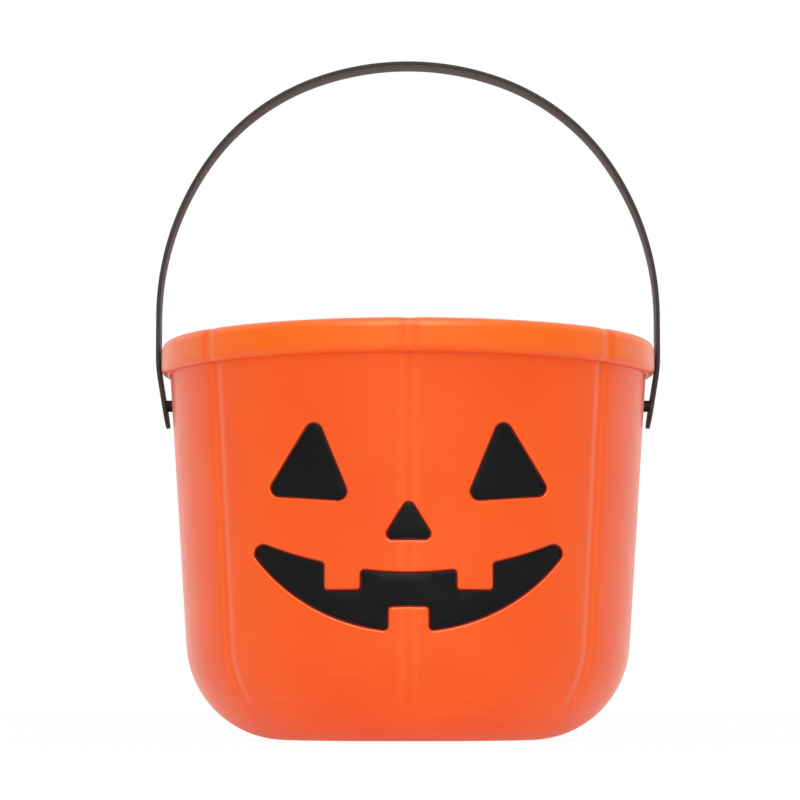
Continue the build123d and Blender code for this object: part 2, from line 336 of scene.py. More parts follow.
# Sums of the blank, one step to a line: what it gives, the operation and its terms.
for label, operation, *terms in (
    ("columns", "MULTIPLY", "Creases", "Columns per rib"),
    ("columns", "ADD", "columns", 1.0),
    ("middle", "DIVIDE", "Creases", 2.0),
    ("ribs", "DIVIDE", "column", "Columns per rib"),
    ("ribs", "SUBTRACT", "ribs", "middle"),
    ("wave", "MULTIPLY", "ribs", 2 * pi),
    ("wave", "SINE", "wave"),
    ("wave", "MULTIPLY", "wave", "Crowding"),
    ("wave", "DIVIDE", "wave", 2 * pi),
    ("ribs", "SUBTRACT", "ribs", "wave"),
    ("rib angle", "DIVIDE", 2 * pi, "Creases"),
    ("angle", "MULTIPLY", "ribs", "rib angle"),
    ("nearest", "ROUND", "ribs"),
    ("beside", "SUBTRACT", "ribs", "nearest"),
    ("beside", "MULTIPLY", "beside", "rib angle"),
    ("beside", "MULTIPLY", "beside", "section out"),
    ("easing", "MULTIPLY", "Valley easing", "Valley easing"),
    ("valley", "MULTIPLY", "beside", "beside"),
    ("valley", "ADD", "valley", "easing"),
    ("valley", "SQRT", "valley"),
    ("within", "SUBTRACT", "Crease half width", "valley"),
    ("easing", "MULTIPLY", "Shoulder easing", "Shoulder easing"),
    ("shoulder", "MULTIPLY", "within", "within"),
    ("shoulder", "ADD", "shoulder", "easing"),
    ("shoulder", "SQRT", "shoulder"),
    ("dip", "ADD", "within", "shoulder"),
    ("dip", "MULTIPLY", "dip", 0.5),
    ("dip", "MULTIPLY", "dip", "Crease slope"),
    ("out", "MULTIPLY", "dip", "press out"),
    ("out", "ADD", "section out", "out"),
    ("up", "MULTIPLY", "dip", "press up"),
    ("up", "ADD", "section up", "up"),
    ("across", "SINE", "angle"),
    ("across", "MULTIPLY", "out", "across"),
    ("back", "COSINE", "angle"),
    ("back", "MULTIPLY", "back", -1.0),
    ("back", "MULTIPLY", "out", "back"),
):
    terms = {i: sums.get(term, term) for i, term in enumerate(terms)}
    sums[label] = add_node(blank, "ShaderNodeMath", terms, operation=operation)[0]
turned = {0: sums["across"], 1: sums["back"], 2: sums["up"]}
turned = add_node(blank, "ShaderNodeCombineXYZ", turned)[0]
made = {"Vertices X": sums["columns"], "Vertices Y": rows}
made = add_node(blank, "GeometryNodeMeshGrid", made)[0]
made = add_node(blank, "GeometryNodeSetPosition", {"Geometry": made, "Position": turned})[0]
for label, value in (("row", row), ("column", column)):
    made = {"Geometry": made, "Name": label, "Value": value}
    made = add_node(blank, "GeometryNodeStoreNamedAttribute", made, data_type="INT")[0]
made = {"Geometry": made, "Distance": seam_weld * MM}
made = add_node(blank, "GeometryNodeMergeByDistance", made)[0]
made = add_node(blank, "GeometryNodeRealizeInstances", {"Geometry": made})[0]
made = {"Geometry": made, "Material": given["Plastic"]}
made = add_node(blank, "GeometryNodeSetMaterial", made)[0]
add_node(blank, "NodeGroupOutput", {0: made})
shell_mesh = grown("orange_pail", section_mesh, blank, blank_inputs)

# Face of the pail: outlines as seen from the front, in the pail's own levels.
recess_depth = 1.5
recess_mouth_round, recess_floor_round = 1.25, 0.3
recess_draft = radians(20.0)
# depths over which the recess sides darken: black ink and painted shade
ink_and_shade_depths = (0.3, 0.8)
eye_width, eye_height, eye_round, eye_lean = 30.0, 29.0, 3.0, radians(5.0)
eye_offset, eye_level = 33.0, 97.02
nose_width, nose_height, nose_round, nose_level = 18.0, 14.5, 2.0, 75.54
grin_half_width, grin_tip_level = 57.0, 71.54
grin_top_level, grin_bottom_level = 57.18, 37.26
grin_round, grin_tip_round = 1.4, 3.0
upper_tooth_half, upper_tooth_drop, upper_tooth_offset = 6.25, 8.0, 22.5
lower_tooth_half, lower_tooth_rise = 7.0, 8.5
outline_step, corner_step = 1.0, 0.45


def turn_between(first, last):
    """Angle of a first direction, and the shorter turn from it to a last one."""
    start = atan2(first.y, first.x)
    return start, (atan2(last.y, last.x) - start + pi) % (2 * pi) - pi


def rounded_loop(corners):
    """Closed outline, anticlockwise, through corners (x, z, round, centre of the arc to the next or None)."""
    count = len(corners)
    spots = [Vector(c[:2]) for c in corners]

    def heading(spot, centre, start, end):
        if centre is None:
            return (end - start).normalized()
        arm = spot - Vector(centre)
        side = Vector((-arm.y, arm.x)).normalized()
        return side if side.dot(end - start) > 0 else -side

    ends = []
    for i in range(count):
        before, after = spots[i - 1], spots[(i + 1) % count]
        back = -heading(spots[i], corners[i - 1][3], before, spots[i])
        ahead = heading(spots[i], corners[i][3], spots[i], after)
        half = acos(max(-1.0, min(1.0, back.dot(ahead)))) / 2
        reach = corners[i][2] / tan(half)
        middle = spots[i] + (back + ahead).normalized() * (corners[i][2] / sin(half))
        ends.append((spots[i] + back * reach, middle, spots[i] + ahead * reach))
    loop = []
    for i in range(count):
        first, middle, last = ends[i]
        start, turn = turn_between(first - middle, last - middle)
        pieces = max(6, int(abs(turn) * corners[i][2] / corner_step))
        for k in range(pieces + 1):
            a = start + turn * k / pieces
            loop.append(middle + Vector((cos(a), sin(a))) * corners[i][2])
        target, centre = ends[(i + 1) % count][0], corners[i][3]
        pieces = max(2, int((target - last).length / outline_step))
        if centre is None:
            loop += [last.lerp(target, k / pieces) for k in range(1, pieces)]
            continue
        arm, goal = last - Vector(centre), target - Vector(centre)
        start, turn = turn_between(arm, goal)
        for k in range(1, pieces):
            a = start + turn * k / pieces
            reach = arm.length + (goal.length - arm.length) * k / pieces
            loop.append(Vector(centre) + Vector((cos(a), sin(a))) * reach)
    return loop


def moved_out(loop, distance):
    """The loop with each point moved out along its own normal."""
    moved = []
    for i, here in enumerate(loop):
        along = (loop[(i + 1) % len(loop)] - loop[i - 1]).normalized()
        moved.append(here + Vector((along.y, -along.x)) * distance)
    return moved


def triangle_loop(width, height, corner_round, middle, lean, grow):
    """Rounded triangle about its middle, leaning by an angle, grown evenly."""
    corners = []
    for x, z in ((-width / 2, -height / 2), (width / 2, -height / 2), (0.0, height / 2)):
        leaning_x = x * cos(lean) - z * sin(lean) + middle[0]
        leaning_z = x * sin(lean) + z * cos(lean) + middle[1]
        corners.append((leaning_x, leaning_z, corner_round, None))
    return moved_out(rounded_loop(corners), grow)


def eye_loop(side, grow):
    """Eye on one side, which leans outwards."""
    middle = (side * eye_offset, eye_level)
    return triangle_loop(eye_width, eye_height, eye_round, middle, side * eye_lean, grow)


def nose_loop(grow):
    """Nose in the middle of the face."""
    return triangle_loop(nose_width, nose_height, nose_round, (0.0, nose_level), 0.0, grow)


def grin_loop(grow):
    """Crescent grin with two teeth above and one below, grown evenly."""

    def edge(level):
        sag = grin_tip_level - level
        return (grin_half_width**2 + sag**2) / (2 * sag)

    low_r, top_r = edge(grin_bottom_level), edge(grin_top_level)
    low, top = (0.0, grin_bottom_level + low_r), (0.0, grin_top_level + top_r)
    tooth_level = top[1] - sqrt(top_r**2 - upper_tooth_offset**2)
    low_r, top_r = low_r + grow, top_r - grow
    tip_z = (low_r**2 - top_r**2 - low[1] ** 2 + top[1] ** 2) / (2 * (top[1] - low[1]))
    tip_x = sqrt(low_r**2 - (tip_z - low[1]) ** 2)

    def on_low(x):
        return low[1] - sqrt(low_r**2 - x**2)

    def on_top(x):
        return top[1] - sqrt(top_r**2 - x**2)

    low_x, low_z = lower_tooth_half - grow, grin_bottom_level + lower_tooth_rise - grow
    in_x = upper_tooth_offset - upper_tooth_half + grow
    out_x = upper_tooth_offset + upper_tooth_half - grow
    tooth_z = tooth_level - upper_tooth_drop + grow
    r, tip_r = grin_round, grin_tip_round + grow
    return rounded_loop(
        [
            (-tip_x, tip_z, tip_r, low),
            (-low_x, on_low(low_x), r, None),
            (-low_x, low_z, r, None),
            (low_x, low_z, r, None),
            (low_x, on_low(low_x), r, low),
            (tip_x, tip_z, tip_r, top),
            (out_x, on_top(out_x), r, None),
            (out_x, tooth_z, r, None),
            (in_x, tooth_z, r, None),
            (in_x, on_top(in_x), r, top),
            (-in_x, on_top(in_x), r, None),
            (-in_x, tooth_z, r, None),
            (-out_x, tooth_z, r, None),
            (-out_x, on_top(out_x), r, top),
        ]
    )


face_loops = {
    "eye_inlay_left": lambda grow: eye_loop(-1, grow),
    "eye_inlay_right": lambda grow: eye_loop(1, grow),
    "nose_inlay": nose_loop,
    "mouth_inlay": grin_loop,
}

# The blank's wall is opened for the recesses, their pads and the stud holes, and filled again round them.
fill_spacing, fill_clearance = 3.0, 0.9
sliver_area, meeting_distance = 0.002, 1e-5
face_half_angle = radians(47.0)
rib_turn = 2 * pi / crease_count


def crease_at(angle, radius):
    """Depth of the nearest crease at an angle round the pail."""
    beside = (angle - rib_turn * round(angle / rib_turn)) * radius
    within = crease_half_width - hypot(beside, crease_valley_easing)
    return crease_slope * 0.5 * (within + hypot(within, crease_shoulder_easing))


def column_near(angle):
    """Column of the blank that stands nearest to an angle round the pail."""

    def gap(column):
        ribs = column / columns_per_rib - crease_count / 2
        return abs((ribs - crowding * sin(2 * pi * ribs) / (2 * pi)) * rib_turn - angle)

    return min(range(crease_count * columns_per_rib), key=gap)


def on_wall(angle, level, inset, crease=1.0):
    """Point at an angle and level of the wall, set in by a depth and by its share of the crease."""
    radius = wall_radius(level, inset)
    radius -= crease * crease_at(angle, radius)
    return Vector((radius * sin(angle), -radius * cos(angle), level)) * MM


def from_front(spot, inset, crease=1.0):
    """Point of the wall behind a point of the front view."""
    radius = wall_radius(spot.y, inset)
    radius -= crease * crease_at(asin(spot.x / radius), radius)
    return Vector((spot.x, -sqrt(radius**2 - spot.x**2), spot.y)) * MM


def unrolled(place):
    """Place on the pail as (distance round the wall, level), in millimetres."""
    return Vector((atan2(place.x, -place.y) * wall_radius(pivot_height), place.z / MM))


def fill_wall(bm, edges, spots, inset, crease, outside):
    """Fills the region of wall that these edges bound with triangles, through spots of the unrolled wall."""
    corners = list(dict.fromkeys(v for e in edges for v in e))
    number = {v: i for i, v in enumerate(corners)}
    flat = [unrolled(v.co) for v in corners]
    near = KDTree(len(flat))
    for i, p in enumerate(flat):
        near.insert((p.x, p.y, 0), i)
    near.balance()
    spots = [p for p in spots if near.find((p.x, p.y, 0))[2] > fill_clearance]
    numbered = [(number[a], number[b]) for a, b in edges]
    places, _, triangles, sources = delaunay_2d_cdt(flat + spots, numbered, [], 0, meeting_distance)[:4]
    starts = np.array([unrolled(a.co) for a, b in edges])
    ends = np.array([unrolled(b.co) for a, b in edges])
    made = {}
    for triangle in triangles:
        one, two, three = (places[k] for k in triangle)
        if abs((two - one).cross(three - one)) < sliver_area:
            continue
        x, y = (one + two + three) / 3
        level = (starts[:, 1] > y) != (ends[:, 1] > y)
        low, high = starts[level], ends[level]
        run = (high[:, 0] - low[:, 0]) / (high[:, 1] - low[:, 1])
        if not np.sum(low[:, 0] + (y - low[:, 1]) * run > x) % 2:
            continue
        face = []
        for k in triangle:
            origin = sources[k][0]
            if origin < len(corners):
                face.append(corners[origin])
                continue
            if origin not in made:
                p = spots[origin - len(corners)]
                angle = p.x / wall_radius(pivot_height)
                made[origin] = bm.verts.new(on_wall(angle, p.y, inset, crease))
            face.append(made[origin])
        bm.faces.new(face if outside else face[::-1])


def ring_edges(ring):
    """Edges of a closed ring of vertices."""
    return [(ring[i - 1], ring[i]) for i in range(len(ring))]


def open_wall(bm, row_span, column_span, loops, inset, outside):
    """Takes a stretch of wall out of the blank and fills it again round open loops of vertices."""
    row_of, column_of = bm.verts.layers.int["row"], bm.verts.layers.int["column"]

    def inside(v):
        in_rows = row_span[0] <= v[row_of] <= row_span[1]
        return in_rows and column_span[0] <= v[column_of] <= column_span[1]

    taken = [f for f in bm.faces if all(inside(v) for v in f.verts)]
    marked = set(taken)
    border = []
    for f in taken:
        border += [tuple(e.verts) for e in f.edges if any(g not in marked for g in e.link_faces)]
    held = {v for e in border for v in e}
    spots = [unrolled(v.co) for v in {v for f in taken for v in f.verts} - held]
    spots.sort(key=lambda p: (p.x, p.y))
    bmesh.ops.delete(bm, geom=taken, context="FACES")
    rings = [e for loop in loops for e in ring_edges(loop)]
    fill_wall(bm, border + rings, spots, inset, 1.0, outside)


def band(bm, first, second, outside=True):
    """Strip of facets from one ring of vertices to the next."""
    for i in range(len(first)):
        face = [first[i - 1], first[i], second[i], second[i - 1]]
        bm.faces.new(face if outside else face[::-1])


def fill_ring(bm, ring, inset, outside):
    """Fills a ring with a smooth piece of wall at a depth, through evenly spaced spots."""
    flat = [unrolled(v.co) for v in ring]
    low = Vector((min(p.x for p in flat), min(p.y for p in flat)))
    high = Vector((max(p.x for p in flat), max(p.y for p in flat)))
    across, up = (int(length / fill_spacing) for length in high - low)
    spots = []
    for i in range(across + 1):
        for k in range(up + 1):
            spots.append(low + Vector((i + 0.5 * (k % 2), k)) * fill_spacing)
    fill_wall(bm, ring_edges(ring), spots, inset, 0.0, outside)


def sink_face(bm, row_span, profile, margin, inset, outside):
    """Leads the wall down to a floor at each face outline, through rings (growth, depth) of a profile."""
    ring_sets = []
    for outline in face_loops.values():
        base = outline(margin)
        rings = []
        for grow, depth in profile:
            crease = 1 - depth / recess_depth
            loop = moved_out(base, grow)
            rings.append([bm.verts.new(from_front(p, inset + depth, crease)) for p in loop])
            for v in rings[-1]:
                # black ink and painted shade: the recess sides darken with depth
                v[ink_and_shade_layer] = eased(depth, *ink_and_shade_depths) if outside else 0.0
        ring_sets.append(rings)
    open_wall(bm, row_span, front_columns, [rings[0] for rings in ring_sets], inset, outside)
    for rings in ring_sets:
        for first, second in zip(rings, rings[1:]):
            band(bm, first, second, outside)
        fill_ring(bm, rings[-1], inset + recess_depth, outside)


bm = bmesh.new()
bm.from_mesh(shell_mesh)
# layer for the black ink and painted shade down the recess sides
ink_and_shade_layer = bm.verts.layers.float.new("face_ink_and_shade")
front_columns = (column_near(-face_half_angle), column_near(face_half_angle))

# Recesses in the outside of the wall: rounded mouth, drafted side, small round to the floor.
steep = pi / 2 - recess_draft
side_depth = recess_depth - recess_floor_round - recess_mouth_round * (1 - cos(steep))
mouth_reach = recess_mouth_round * sin(steep) + side_depth * tan(recess_draft)
recess_profile = []
for k in range(7):
    turn = steep * k / 6
    grow = mouth_reach - recess_mouth_round * sin(turn)
    recess_profile.append((grow, recess_mouth_round * (1 - cos(turn))))
for k in range(4):
    turn = pi / 2 * k / 3
    depth = recess_depth - recess_floor_round * (1 - sin(turn))
    recess_profile.append((-recess_floor_round * (1 - cos(turn)), depth))
sink_face(bm, (outer_first, outer_last), recess_profile, 0.0, 0.0, True)

# Raised pads on the inside, which keep the wall even behind each recess.
pad_profile = [(0.35, 0.0), (0.1, 0.1), (0.0, 0.35), (-0.02, 1.15), (-0.12, 1.4), (-0.4, recess_depth)]
sink_face(bm, (inner_last, inner_first), pad_profile, wall, wall, False)

# Stud holes through both sides.
hole_sides, hole_columns = 32, 5
hole_rows = (outer_last, outer_last + 4)
hole_rows_inside = (inner_last - 5, inner_last - 1)
for side in (-1, 1):
    middle = column_near(side * pi / 2)
    span = (middle - hole_columns, middle + hole_columns)
    rings = []
    for inset in (0.0, wall):
        ring = []
        for k in range(hole_sides):
            turn = 2 * pi * k / hole_sides
            y, z = stud_hole_radius * cos(turn), pivot_height + stud_hole_radius * sin(turn)
            angle = side * pi / 2 + asin(y / wall_radius(z, inset))
            ring.append(bm.verts.new(on_wall(angle, z, inset)))
        rings.append(ring)
    open_wall(bm, hole_rows, span, [rings[0]], 0.0, True)
    open_wall(bm, hole_rows_inside, span, [rings[1]], wall, False)
    band(bm, rings[0], rings[1])

# How far each point lies on the flank of a crease, for the painted highlight there.
flank_start = (0.5, 1.8)
flank_end = (crease_half_width - 1.6, crease_half_width - 0.2)
flank = bm.verts.layers.float.new("crease_flank")
for v in bm.verts:
    angle = atan2(v.co.x, -v.co.y)
    beside = abs(angle - rib_turn * round(angle / rib_turn)) * hypot(v.co.x, v.co.y) / MM
    share = eased(beside, *flank_start) * (1 - eased(beside, *flank_end))
    v[flank] = share * eased(v.co.z / MM, *crease_fade_levels)


def finished(name, bm, material, sharp_angle, body, node):
    """Turns a bmesh into a smooth shaded piece that stands for a CAD node and rides on its body."""
    bmesh.ops.remove_doubles(bm, verts=bm.verts, dist=mesh_weld * MM)
    for label in list(bm.verts.layers.int.keys()):
        bm.verts.layers.int.remove(bm.verts.layers.int[label])
    mesh = bpy.data.meshes.new(name)
    bm.to_mesh(mesh)
    bm.free()
    mesh.polygons.foreach_set("use_smooth", [True] * len(mesh.polygons))
    mesh.set_sharp_from_angle(angle=radians(sharp_angle))
    mesh.materials.clear()
    mesh.materials.append(material)
    piece = bpy.data.objects.new(name, mesh)
    bpy.context.scene.collection.objects.link(piece)
    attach(piece, body)
    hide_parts(node)


finished("orange_pail", bm, orange, 38, "pail", "pail_shell")


# Face inlays: black vinyl film, die cut to each recess and stuck to its floor with a hair of margin.
# The film is a third of a millimetre thick, so a thin line of recess shows round it.
inlay_margin = 0.35
inlay_front, inlay_back = 1.10, 1.45
inlay_edge_round = 0.08

# Black vinyl film, even and dull: faint smudges and a slow ripple break up the little light that it returns.
smudge_size, ripple_size, ripple_depth = 16.7, 3.85, 0.2
film, tree, place = new_finish("black_vinyl_film")
smudge = {"Vector": place, "Scale": 1 / (smudge_size * MM), "Detail": 4.0, "Roughness": 0.6}
smudge = add_node(tree, "ShaderNodeTexNoise", smudge)["Fac"]
shade = add_node(tree, "ShaderNodeMapRange", {"Value": smudge, 1: 0.35, 2: 0.7})["Result"]
shade = {0: shade, 6: linear("#080808"), 7: linear("#0C0C0C")}
shade = add_node(tree, "ShaderNodeMix", shade, data_type="RGBA")[2]
gloss = {"Value": smudge, 1: 0.3, 2: 0.7, 3: 0.42, 4: 0.52}
gloss = add_node(tree, "ShaderNodeMapRange", gloss)["Result"]
ripple = {"Vector": place, "Scale": 1 / (ripple_size * MM), "Detail": 2.0, "Roughness": 0.5}
ripple = add_node(tree, "ShaderNodeTexNoise", ripple)["Fac"]
ripple = {"Height": ripple, "Strength": 0.05, "Distance": ripple_depth * MM}
ripple = add_node(tree, "ShaderNodeBump", ripple)["Normal"]
vinyl = {"Base Color": shade, "Roughness": gloss, "Normal": ripple, "Specular IOR Level": 0.14}
vinyl = add_node(tree, "ShaderNodeBsdfPrincipled", vinyl)[0]
add_node(tree, "ShaderNodeOutputMaterial", {"Surface": vinyl})

film_profile = [
    (-inlay_margin - inlay_edge_round, inlay_front),
    (-inlay_margin - 0.3 * inlay_edge_round, inlay_front + 0.3 * inlay_edge_round),
    (-inlay_margin, inlay_front + inlay_edge_round),
    (-inlay_margin, inlay_back),
]
for node, outline in face_loops.items():
    bm = bmesh.new()
    base = outline(0.0)
    rings = []
    for grow, depth in film_profile:
        rings.append([bm.verts.new(from_front(p, depth, 0.0)) for p in moved_out(base, grow)])
    for first, second in zip(rings, rings[1:]):
        band(bm, first, second, False)
    fill_ring(bm, rings[0], inlay_front, True)
    fill_ring(bm, rings[-1], inlay_back, False)
    finished(node.replace("inlay", "film"), bm, film, 45, "pail", node)


# Strap handle: one moulding in black polypropylene, a flat strap sprung into an arch over the pail.
# Its legs stand just clear of the lip, bend in under it and end in rounded tails.
# A stud on the inside of each tail snaps through the wall, so that the handle swings.
strap_width, strap_thickness, strap_edge_round = 13.5, 1.3, 0.35
strap_lip_clearance = 0.6
arch_height = 247.0
crown_sweep, shoulder_sweep = radians(20.0), radians(35.0)
shoulder_radius = 82.0
leg_straight_above_lip = 9.75
bend_above_lip_edge = 7.7
bend_radius, bend_sweep = 54.0, radians(9.5)
tail_drop, tail_tip_share = 8.2, 0.004
tail_weld = 0.05
leg_steps, bend_steps, tail_steps, tip_steps = 6, 8, 6, 14
stud_radius, stud_head_radius, stud_tip_radius = 2.1, 2.9, 2.0
stud_head_length, stud_head_clearance = 2.0, 0.35
stud_sides = 32

# The radii of the crown and of the legs follow from the arch's height and width.
leg_x = lip_radius + strap_lip_clearance + strap_thickness / 2
crown_top = arch_height - strap_thickness / 2
rise = crown_top - pail_height - leg_straight_above_lip
middle_shoulder = shoulder_radius - strap_thickness / 2
turned_in = crown_sweep + shoulder_sweep
reach_left = leg_x - middle_shoulder * (sin(turned_in) - sin(crown_sweep))
rise_left = rise - middle_shoulder * (cos(crown_sweep) - cos(turned_in))
crown_reach, crown_fall = sin(crown_sweep), 1 - cos(crown_sweep)
leg_reach, leg_fall = 1 - sin(turned_in), cos(turned_in)
divisor = crown_reach * leg_fall - leg_reach * crown_fall
crown_radius = (reach_left * leg_fall - rise_left * leg_reach) / divisor
leg_radius = (rise_left * crown_reach - reach_left * crown_fall) / divisor

# The route of the strap's middle runs from the crown down one leg, and is mirrored to the other.
route = [Vector((0.0, crown_top))]
turn = 0.0
for radius, sweep, steps in (
    (crown_radius, crown_sweep, 20),
    (middle_shoulder, shoulder_sweep, 30),
    (leg_radius, pi / 2 - turned_in, 30),
):
    centre = route[-1] - Vector((sin(turn), cos(turn))) * radius
    for k in range(1, steps + 1):
        a = turn + sweep * k / steps
        route.append(centre + Vector((sin(a), cos(a))) * radius)
    turn += sweep
leg_top = route[-1]
bend_start = Vector((leg_x, lip_level + bend_above_lip_edge))
route += [leg_top.lerp(bend_start, k / leg_steps) for k in range(1, leg_steps + 1)]
for k in range(1, bend_steps + 1):
    a = bend_sweep * k / bend_steps
    route.append(bend_start + Vector((cos(a) - 1, -sin(a))) * bend_radius)
bend_end = route[-1]
lean = Vector((-sin(bend_sweep), -cos(bend_sweep)))
tail_length = (bend_end.y - (pivot_height - tail_drop)) / cos(bend_sweep)
tip_length = strap_width / 2
straight = tail_length - tip_length
route += [bend_end + lean * straight * k / tail_steps for k in range(1, tail_steps)]
shares = [1.0] * len(route)
for k in range(tip_steps + 1):
    a = pi / 2 * k / tip_steps
    route.append(bend_end + lean * (straight + tip_length * sin(a)))
    shares.append(max(tail_tip_share, cos(a)))
route = [Vector((-p.x, p.y)) for p in reversed(route[1:])] + route
shares = shares[:0:-1] + shares

route_mesh = bpy.data.meshes.new("strap_route")
route_spots = [(p.x * MM, p.y * MM, 0) for p in route]
route_mesh.from_pydata(route_spots, [(i, i + 1) for i in range(len(route) - 1)], [])
share_layer = route_mesh.attributes.new("width_share", "FLOAT", "POINT")
share_layer.data.foreach_set("value", shares)

# Black polypropylene, satin and slightly greyed: handling has rubbed it unevenly, fine grain dulls it,
# and a warm tint on the sheen at its edges is a painted reflection of the orange below.
rub_size = 22.2
grain_width, grain_depth = 0.556, 0.1  # really about 0.1 mm wide, too fine to show, so drawn coarser
black, tree, place = new_finish("black_polypropylene_satin")
rub = {"Vector": place, "Scale": 1 / (rub_size * MM), "Detail": 5.0, "Roughness": 0.62}
rub = add_node(tree, "ShaderNodeTexNoise", rub)["Fac"]
shade = add_node(tree, "ShaderNodeMapRange", {"Value": rub, 1: 0.35, 2: 0.75})["Result"]
shade = {0: shade, 6: linear("#3B3836"), 7: linear("#474340")}
shade = add_node(tree, "ShaderNodeMix", shade, data_type="RGBA")[2]
gloss = {"Value": rub, 1: 0.3, 2: 0.75, 3: 0.5, 4: 0.64}
gloss = add_node(tree, "ShaderNodeMapRange", gloss)["Result"]
grain = {"Vector": place, "Scale": 1 / (grain_width * MM), "Detail": 2.0, "Roughness": 0.6}
grain = add_node(tree, "ShaderNodeTexNoise", grain)["Fac"]
grain = {"Height": grain, "Strength": 0.1, "Distance": grain_depth * MM}
grain = add_node(tree, "ShaderNodeBump", grain)["Normal"]
plastic = {
    "Base Color": shade,
    "Roughness": gloss,
    "Normal": grain,
    "IOR": 1.49,
    "Specular IOR Level": 0.1,
    "Sheen Weight": 0.15,
    "Sheen Roughness": 0.4,
    # warm sheen tint: painted reflection of the orange pail
    "Sheen Tint": linear("#B89A92"),
}
plastic = add_node(tree, "ShaderNodeBsdfPrincipled", plastic)[0]
add_node(tree, "ShaderNodeOutputMaterial", {"Surface": plastic})

# The strap's section is led along the route and narrowed to the rounded tails.
strap_inputs = {
    "Strap width": ("NodeSocketFloat", strap_width * MM),
    "Strap thickness": ("NodeSocketFloat", strap_thickness * MM),
    "Edge round": ("NodeSocketFloat", strap_edge_round * MM),
    "Plastic": ("NodeSocketMaterial", black),
}
strap_tree, given = new_tree("strap_along_route", strap_inputs)
line = add_node(strap_tree, "GeometryNodeMeshToCurve", {"Mesh": given["Geometry"]})[0]
line = add_node(strap_tree, "GeometryNodeSetCurveNormal", {"Curve": line}, mode="Z_UP")[0]
edge = {"Width": given["Strap thickness"], "Height": given["Strap width"]}
edge = add_node(strap_tree, "GeometryNodeCurvePrimitiveQuadrilateral", edge)[0]
edge = {"Curve": edge, "Count": 4, "Radius": given["Edge round"]}
edge = add_node(strap_tree, "GeometryNodeFilletCurve", edge, mode="POLY")[0]
made = add_node(strap_tree, "GeometryNodeCurveToMesh", {"Curve": line, "Profile Curve": edge})[0]
share = {"Name": "width_share"}
share = add_node(strap_tree, "GeometryNodeInputNamedAttribute", share, data_type="FLOAT")[0]
here = add_node(strap_tree, "GeometryNodeInputPosition")[0]
here = add_node(strap_tree, "ShaderNodeSeparateXYZ", {0: here})
narrowed = {0: here["Z"], 1: share}
narrowed = add_node(strap_tree, "ShaderNodeMath", narrowed, operation="MULTIPLY")[0]
stood_up = {0: here["X"], 1: narrowed, 2: here["Y"]}
stood_up = add_node(strap_tree, "ShaderNodeCombineXYZ", stood_up)[0]
made = {"Geometry": made, "Position": stood_up}
made = add_node(strap_tree, "GeometryNodeSetPosition", made)[0]
made = {"Geometry": made, "Distance": tail_weld * MM}
made = add_node(strap_tree, "GeometryNodeMergeByDistance", made)[0]
made = add_node(strap_tree, "GeometryNodeRealizeInstances", {"Geometry": made})[0]
made = {"Geometry": made, "Material": given["Plastic"]}
made = add_node(strap_tree, "GeometryNodeSetMaterial", made)[0]
add_node(strap_tree, "NodeGroupOutput", {0: made})
strap_mesh = grown("black_strap", route_mesh, strap_tree, strap_inputs)

bm = bmesh.new()
bm.from_mesh(strap_mesh)
bmesh.ops.recalc_face_normals(bm, faces=bm.faces)

# Studs: a neck from the strap through the hole, and a head that narrows to its tip inside the wall.
stud_root = bend_end.x - (bend_end.y - pivot_height) * tan(bend_sweep)
seat = sqrt(wall_radius(pivot_height - stud_head_radius, wall) ** 2 - stud_head_radius**2)
seat -= stud_head_clearance
tip = seat - stud_head_length
stud_section = [
    (stud_root, 0.0),
    (stud_root, stud_radius),
    (seat + 0.15, stud_radius),
    (seat, stud_radius + 0.15),
    (seat, stud_head_radius - 0.2),
    (seat - 0.06, stud_head_radius - 0.06),
    (seat - 0.2, stud_head_radius),
    (tip + 0.2, stud_tip_radius + 0.09),
    (tip + 0.05, stud_tip_radius - 0.1),
    (tip, stud_tip_radius - 0.3),
    (tip, 0.0),
]
for side in (-1, 1):
    rings = []
    for x, reach in stud_section:
        ring = []
        for k in range(stud_sides if reach else 1):
            a = 2 * pi * k / stud_sides
            spot = Vector((side * x, reach * cos(a), pivot_height + reach * sin(a)))
            ring.append(bm.verts.new(spot * MM))
        rings.append(ring)
    for first, second in zip(rings, rings[1:]):
        for i in range(stud_sides):
            face = [first[(i - 1) % len(first)], first[i % len(first)]]
            face += [second[i % len(second)], second[(i - 1) % len(second)]]
            face = list(dict.fromkeys(face))
            bm.faces.new(face if side < 0 else face[::-1])
finished("black_strap", bm, black, 40, "handle", "handle_strap")


# Studio: a white table that runs on into a white surround, brighter in front and flagged off at both sides,
# with a soft bank overhead and the reflection of a bank above the camera.
# The camera stands low, about a metre in front of the pail, and looks slightly up.
table_half = 6.0  # metres, as are all the sizes of the studio
table_corners = [(-1, -1), (1, -1), (1, 1), (-1, 1)]
table_mesh = bpy.data.meshes.new("white_table")
table_mesh.from_pydata([(x * table_half, y * table_half, 0) for x, y in table_corners], [], [(0, 1, 2, 3)])
table = bpy.data.objects.new("white_table", table_mesh)
bpy.context.scene.collection.objects.link(table)

